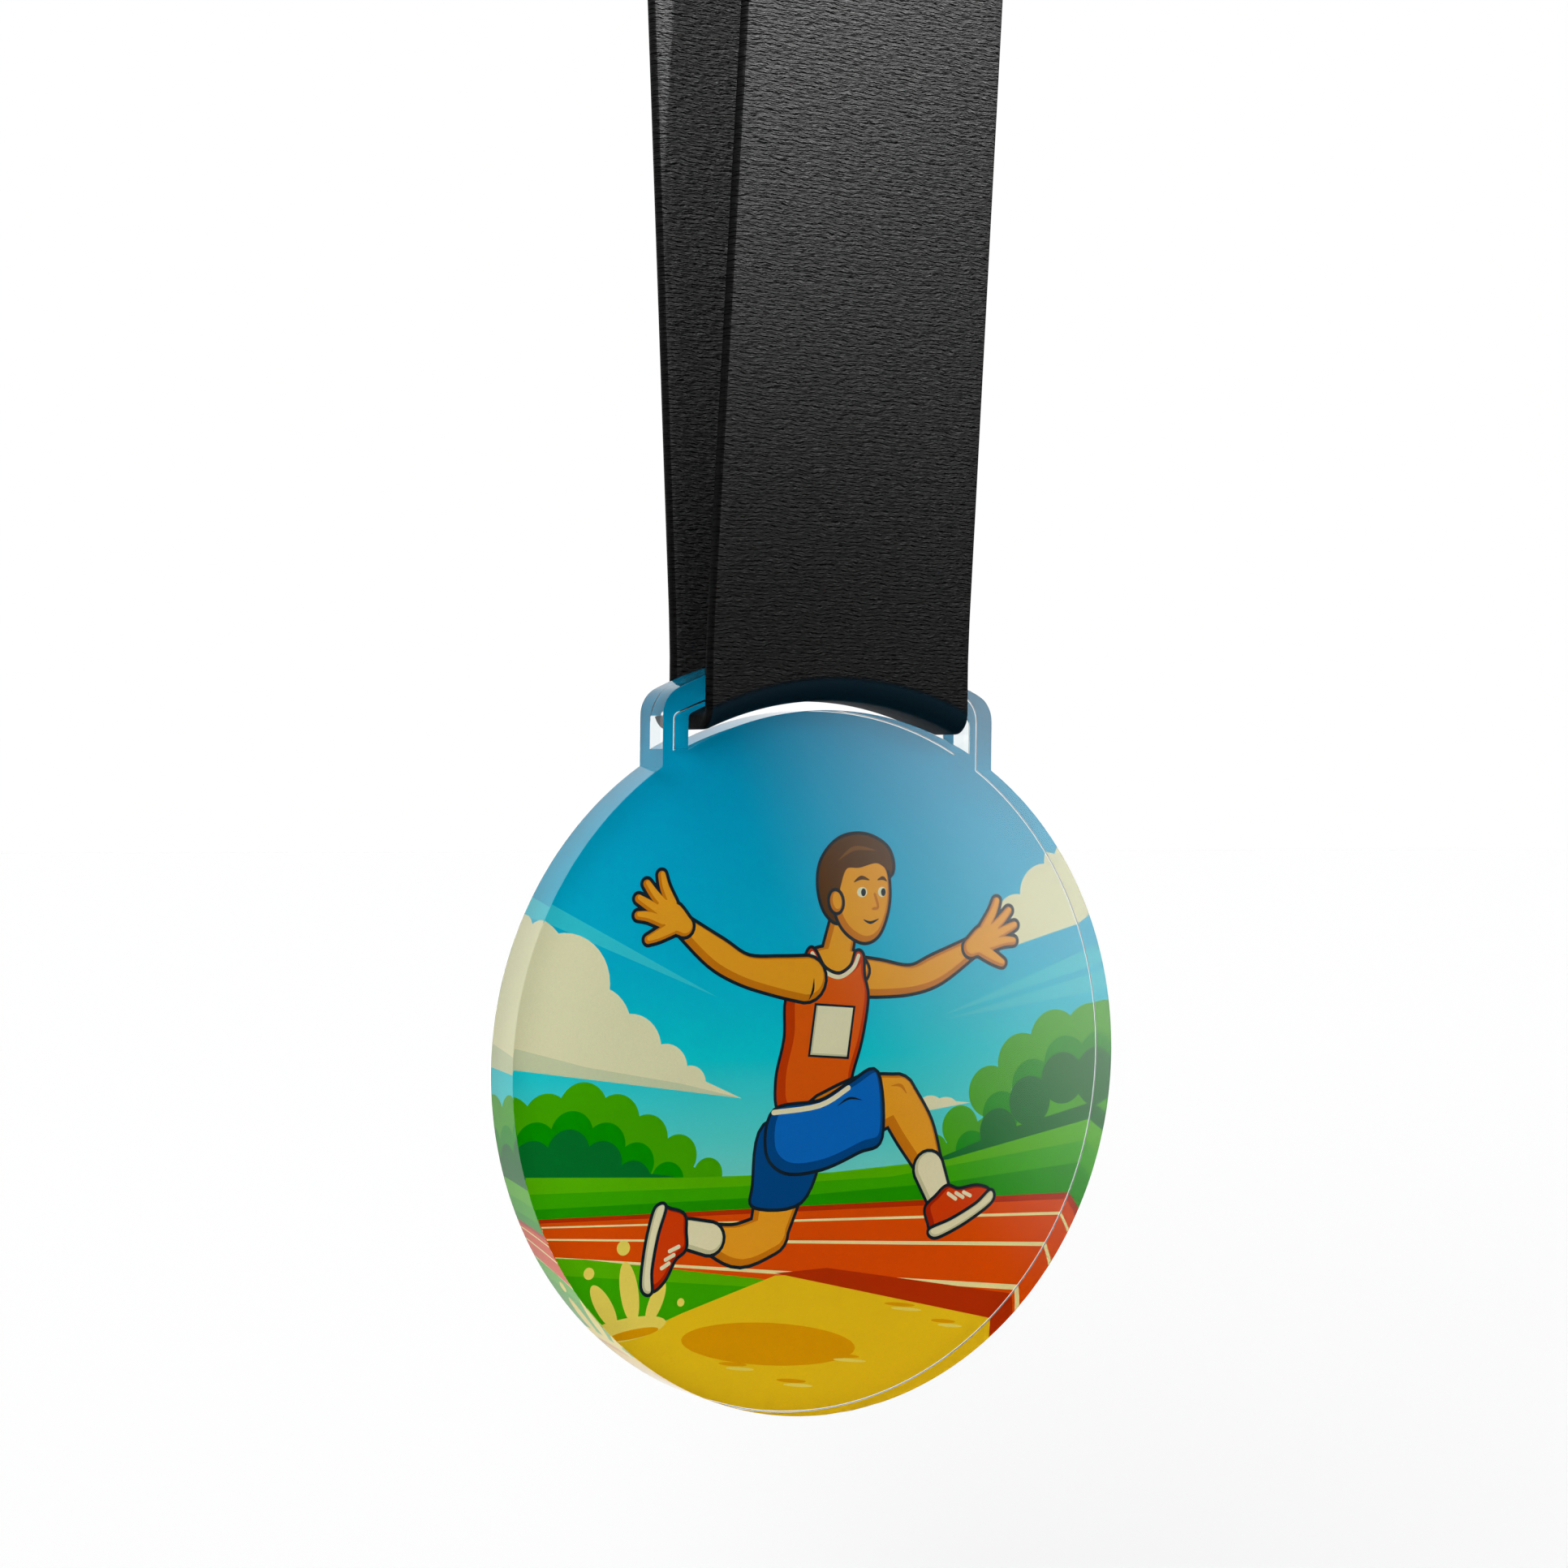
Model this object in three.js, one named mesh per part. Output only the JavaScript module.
// Sports finisher medal: a clear acrylic disc with an integral ribbon loop, printed on its back, and
// a woven neck ribbon that wraps the loop's bar and hangs over a round peg.
// Millimetres, +Z up. The origin is the point where the ribbon rests on top of the peg. The medal's
// front looks to -Y, and +X is to the right as seen from the front.

import * as THREE from 'three';

// Acrylic blank
const DISC_RADIUS = 30;
const ACRYLIC_THICKNESS = 4;
const BAR_DEPTH = 2.4;
const LUG_LEG_WIDTH = 2.4;
const LUG_CORNER_RADIUS = 2.5;
const SLOT_CORNER_RADIUS = 0.6;

// Print on the back of the blank
const PRINT_MARGIN = 0.25;
const INK_THICKNESS = 0.1;
const INK_GAP = 0.02;

// Neck ribbon: one woven strip, cut, passed through the slot and sewn into a loop
const RIBBON_WIDTH = 26;
const RIBBON_THICKNESS = 1.5;
const RIBBON_CUT_LENGTH = 700;
const SEAM_OVERLAP = 20;
const LAP_CLIMB_LENGTH = 5;
const FOLD_CORNER_RADIUS = 1.9;
const PEG_RADIUS = 14;
const LOWER_STRAP_TOP = 62; // above the fold's top
const TWIST_START_SHARE = 0.22; // of the straps' rise, from the fold's top

// Seam thread
const THREAD_RADIUS = 0.25;
const THREAD_SIDES = 8;
const SEAM_EDGE_MARGIN = 2.5;
const SEAM_ROW_INSET = 2.5;

// Clearances
const WRAP_CLEARANCE = 0.3;
const SLOT_FREE_GAP = 0.8;
const SLOT_SIDE_CLEARANCE = 1.1;
const PIECE_GAP = 0.3;
const LAP_GAP = 0.3;
const THREAD_GAP = 0.1;
const SWING_AXIS_RISE = 1.0;
const FOLD_RISE = 0.6;

// Facets
const FACET_LENGTH = 0.9;
const CORNER_FACETS = 5;
const STRAP_STEP = 6;
const FOLD_STEPS = 22;
const CROWN_STEP_DEG = 6;
const EASE_POWER = 12; // the higher it is, the later the straps ease upright at the peg

// Sizes that follow from the ones above; heights in the medal are taken from the disc's centre
const slotHeight = RIBBON_THICKNESS + WRAP_CLEARANCE + SLOT_FREE_GAP;
const slotHalfWidth = RIBBON_WIDTH / 2 + SLOT_SIDE_CLEARANCE;
const barInnerRadius = DISC_RADIUS + slotHeight;
const lugTopRadius = barInnerRadius + BAR_DEPTH;
const lugHalfWidth = slotHalfWidth + LUG_LEG_WIDTH;
const strapOffset = ACRYLIC_THICKNESS / 2 + WRAP_CLEARANCE + RIBBON_THICKNESS / 2;
const foldHalfDepth = strapOffset + RIBBON_THICKNESS / 2;
const foldBottomRadius = barInnerRadius - WRAP_CLEARANCE - RIBBON_THICKNESS;
const foldTop = lugTopRadius + FOLD_RISE;
const swingAxisHeight = lugTopRadius + SWING_AXIS_RISE;
const swingSweep = Math.hypot(foldHalfDepth, swingAxisHeight - foldTop);
const strapStart = swingAxisHeight + swingSweep + PIECE_GAP - foldTop;

// The strip's length, less its sewn overlap, goes round the peg, round the bar and up the two straps
const crownRadius = PEG_RADIUS + RIBBON_THICKNESS / 2;
const crownLength = Math.PI * crownRadius;
const foldMidRadius = FOLD_CORNER_RADIUS - RIBBON_THICKNESS / 2;
const foldLegLength = foldTop - foldBottomRadius - RIBBON_THICKNESS / 2;
const foldLength = 2 * foldLegLength + 2 * strapOffset - (4 - Math.PI) * foldMidRadius;
const strapRise = (RIBBON_CUT_LENGTH - SEAM_OVERLAP - crownLength - foldLength) / 2;
const pegCentreHeight = -PEG_RADIUS;
const foldTopHeight = pegCentreHeight - strapRise;
const discCentreHeight = foldTopHeight - foldTop;

const material = {
  acrylic: () => new THREE.MeshStandardMaterial({
    color: 0xe6f4f7, roughness: 0.03, metalness: 0, transparent: true, opacity: 0.35,
  }),
  print: () => new THREE.MeshStandardMaterial({ color: 0x0093b0, roughness: 0.4, metalness: 0 }),
  whiteInk: () => new THREE.MeshStandardMaterial({ color: 0xf2f2ee, roughness: 0.55, metalness: 0 }),
  ribbon: () => new THREE.MeshStandardMaterial({ color: 0x1c1c1e, roughness: 0.85, metalness: 0 }),
  thread: () => new THREE.MeshStandardMaterial({ color: 0x101012, roughness: 0.7, metalness: 0 }),
};

function named(name, geometry, surface) {
  const mesh = new THREE.Mesh(geometry, surface);
  mesh.name = name;
  return mesh;
}

// Points along an arc, with facets of about FACET_LENGTH and at least CORNER_FACETS of them
function arcPoints(x, z, radius, from, to) {
  const facets = Math.max(CORNER_FACETS, Math.ceil(Math.abs(to - from) * radius / FACET_LENGTH));
  const points = [];
  for (let i = 0; i <= facets; i += 1) {
    const angle = from + (to - from) * i / facets;
    points.push(new THREE.Vector2(x + radius * Math.cos(angle), z + radius * Math.sin(angle)));
  }
  return points;
}

// An arch of two upright sides under an arc about the disc's centre, its corners rounded inside it.
// It runs from the foot of the right side, over the top, to the foot of the left side.
function archPoints(halfWidth, topRadius, cornerRadius) {
  const cornerX = halfWidth - cornerRadius;
  const cornerZ = Math.sqrt((topRadius - cornerRadius) ** 2 - cornerX ** 2);
  const turn = Math.atan2(cornerZ, cornerX);
  return [
    ...arcPoints(cornerX, cornerZ, cornerRadius, 0, turn),
    ...arcPoints(0, 0, topRadius, turn, Math.PI - turn).slice(1, -1),
    ...arcPoints(-cornerX, cornerZ, cornerRadius, Math.PI - turn, Math.PI),
  ];
}

// The medal's outline in the plane of the disc, drawn in by inset: disc, legs and bar, less the slot
function medalShape(inset) {
  const radius = DISC_RADIUS - inset;
  const lugSide = lugHalfWidth - inset;
  const lugFoot = Math.acos(lugSide / radius);
  const shape = new THREE.Shape([
    ...archPoints(lugSide, lugTopRadius - inset, LUG_CORNER_RADIUS - inset),
    ...arcPoints(0, 0, radius, Math.PI - lugFoot, 2 * Math.PI + lugFoot),
  ]);
  const slotSide = slotHalfWidth + inset;
  const slotFoot = Math.acos(slotSide / radius);
  shape.holes.push(new THREE.Path([
    ...archPoints(slotSide, barInnerRadius + inset, SLOT_CORNER_RADIUS + inset),
    ...arcPoints(0, 0, radius, Math.PI - slotFoot, slotFoot),
  ]));
  return shape;
}

// A plate of the medal's outline standing upright, its front at depth y
function medalPlate(inset, thickness, y) {
  const plate = new THREE.ExtrudeGeometry(medalShape(inset), { depth: thickness, bevelEnabled: false });
  plate.rotateX(Math.PI / 2);
  plate.translate(0, y + thickness, 0);
  return plate;
}

// Moves every vertex of a geometry to where place(x, y, z) says
function reshape(geometry, place) {
  const position = geometry.attributes.position;
  for (let i = 0; i < position.count; i += 1) {
    const [x, y, z] = place(position.getX(i), position.getY(i), position.getZ(i));
    position.setXYZ(i, x, y, z);
  }
  geometry.computeVertexNormals();
  return geometry;
}

function smooth(share) {
  const t = Math.min(Math.max(share, 0), 1);
  return t * t * (3 - 2 * t);
}

// Where the front strap's middle is at a height above the fold's top, and how far it has turned.
// It leans out to the side of the peg, ends upright there, and turns a quarter turn on its way.
function strapAt(height) {
  const share = height / strapRise;
  const turned = smooth((share - TWIST_START_SHARE) / (1 - TWIST_START_SHARE));
  return {
    x: crownRadius * (share - share ** EASE_POWER / EASE_POWER) / (1 - 1 / EASE_POWER),
    y: -strapOffset * (1 - turned),
    turn: turned * Math.PI / 2,
  };
}

// A stretch of the front strap between two heights above the fold's top
function strap(from, to) {
  const length = to - from;
  const steps = Math.ceil(length / STRAP_STEP);
  const box = new THREE.BoxGeometry(RIBBON_WIDTH, RIBBON_THICKNESS, length, 1, 1, steps);
  return reshape(box, (across, through, along) => {
    const height = from + length / 2 + along;
    const middle = strapAt(height);
    const cos = Math.cos(middle.turn);
    const sin = Math.sin(middle.turn);
    return [
      middle.x + across * cos - through * sin,
      middle.y + across * sin + through * cos,
      foldTopHeight + height,
    ];
  });
}

// The fold round the bar: a U section with a rounded underside, carried along the bar's arch
function ribbonFold() {
  const innerHalf = foldHalfDepth - RIBBON_THICKNESS;
  const innerCorner = FOLD_CORNER_RADIUS - RIBBON_THICKNESS;
  const legTop = foldTop - foldBottomRadius;
  const section = new THREE.Shape();
  section.moveTo(-foldHalfDepth, legTop);
  section.lineTo(-foldHalfDepth, FOLD_CORNER_RADIUS);
  section.absarc(-foldHalfDepth + FOLD_CORNER_RADIUS, FOLD_CORNER_RADIUS, FOLD_CORNER_RADIUS,
    Math.PI, 1.5 * Math.PI, false);
  section.absarc(foldHalfDepth - FOLD_CORNER_RADIUS, FOLD_CORNER_RADIUS, FOLD_CORNER_RADIUS,
    1.5 * Math.PI, 2 * Math.PI, false);
  section.lineTo(foldHalfDepth, legTop);
  section.lineTo(innerHalf, legTop);
  section.absarc(innerHalf - innerCorner, FOLD_CORNER_RADIUS, innerCorner, 0, -Math.PI / 2, true);
  section.absarc(-innerHalf + innerCorner, FOLD_CORNER_RADIUS, innerCorner, -Math.PI / 2, -Math.PI, true);
  section.lineTo(-innerHalf, legTop);
  const solid = new THREE.ExtrudeGeometry(section, {
    depth: RIBBON_WIDTH, steps: FOLD_STEPS, curveSegments: CORNER_FACETS, bevelEnabled: false,
  });
  return reshape(solid, (y, up, along) => {
    const x = along - RIBBON_WIDTH / 2;
    const arch = Math.sqrt(foldBottomRadius ** 2 - x ** 2);
    const isTop = up > legTop - FOLD_RISE / 2;
    return [x, y, isTop ? foldTop : arch + up];
  });
}

// One end of the strip over the peg, from one side of it to past the top: an arc in the XZ plane.
// lift(angle) is how far the strip is raised off the peg at that angle.
function crownHalf(fromAngle, toAngle, lift) {
  const steps = Math.ceil(Math.abs(toAngle - fromAngle) / THREE.MathUtils.degToRad(CROWN_STEP_DEG));
  const inner = [];
  const outer = [];
  for (let i = 0; i <= steps; i += 1) {
    const angle = fromAngle + (toAngle - fromAngle) * i / steps;
    const radius = PEG_RADIUS + lift(angle);
    const direction = new THREE.Vector2(Math.cos(angle), Math.sin(angle));
    inner.push(direction.clone().multiplyScalar(radius));
    outer.push(direction.clone().multiplyScalar(radius + RIBBON_THICKNESS));
  }
  const section = new THREE.Shape([...outer, ...inner.reverse()]);
  const solid = new THREE.ExtrudeGeometry(section, { depth: RIBBON_WIDTH, bevelEnabled: false });
  solid.rotateX(Math.PI / 2);
  solid.translate(0, RIBBON_WIDTH / 2, pegCentreHeight);
  return solid;
}

// A row of the seam's thread across the ribbon, lying on the upper layer at an angle round the peg
function seamRow(name, angle) {
  const upperSurface = PEG_RADIUS + 2 * RIBBON_THICKNESS + LAP_GAP;
  const radius = upperSurface + THREAD_GAP + THREAD_RADIUS;
  const length = RIBBON_WIDTH - 2 * SEAM_EDGE_MARGIN;
  const thread = new THREE.CylinderGeometry(THREAD_RADIUS, THREAD_RADIUS, length, THREAD_SIDES);
  const row = named(name, thread, material.thread());
  row.position.set(radius * Math.cos(angle), 0, pegCentreHeight + radius * Math.sin(angle));
  return row;
}

const upright = Math.PI / 2;
const lapHalfAngle = SEAM_OVERLAP / 2 / crownRadius;
const climbAngle = LAP_CLIMB_LENGTH / crownRadius;
const climbGapAngle = PIECE_GAP / crownRadius;

// Medal: the acrylic blank, its two ink layers, and the stretch of ribbon that the slot holds
const medal = new THREE.Group();
medal.position.z = discCentreHeight;
const backFace = ACRYLIC_THICKNESS / 2;
const printFront = backFace + INK_GAP;
const whiteFront = printFront + INK_THICKNESS + INK_GAP;
medal.add(named('acrylic_body', medalPlate(0, ACRYLIC_THICKNESS, -backFace), material.acrylic()));
medal.add(named('colour_print_layer', medalPlate(PRINT_MARGIN, INK_THICKNESS, printFront), material.print()));
medal.add(named('white_ink_backing', medalPlate(PRINT_MARGIN, INK_THICKNESS, whiteFront), material.whiteInk()));
medal.add(named('ribbon_fold', ribbonFold(), material.ribbon()));

// Straps: the back one is the front one turned half a turn about the medal's upright axis
const straps = new THREE.Group();
for (const [side, turn] of [['front', 0], ['back', Math.PI]]) {
  const pair = new THREE.Group();
  pair.rotation.z = turn;
  pair.add(named(`${side}_strap_lower`, strap(strapStart, LOWER_STRAP_TOP), material.ribbon()));
  pair.add(named(`${side}_strap_upper`, strap(LOWER_STRAP_TOP + PIECE_GAP, strapRise - PIECE_GAP),
    material.ribbon()));
  straps.add(pair);
}

// Crown: the strip's right end lies on the peg, and its left end climbs over it and is sewn down
const crown = new THREE.Group();
const raised = RIBBON_THICKNESS + LAP_GAP;
const lapStart = upright + lapHalfAngle;
const climb = (angle) => raised * smooth((lapStart + climbAngle + climbGapAngle - angle) / climbAngle);
crown.add(named('crown_under_end', crownHalf(0, lapStart, () => 0), material.ribbon()));
crown.add(named('crown_over_end', crownHalf(Math.PI, upright - lapHalfAngle, climb), material.ribbon()));
const rowAngle = lapHalfAngle - SEAM_ROW_INSET / crownRadius;
crown.add(seamRow('seam_thread_right', upright - rowAngle));
crown.add(seamRow('seam_thread_left', upright + rowAngle));

const model = new THREE.Group();
model.add(medal, straps, crown);

export default model;
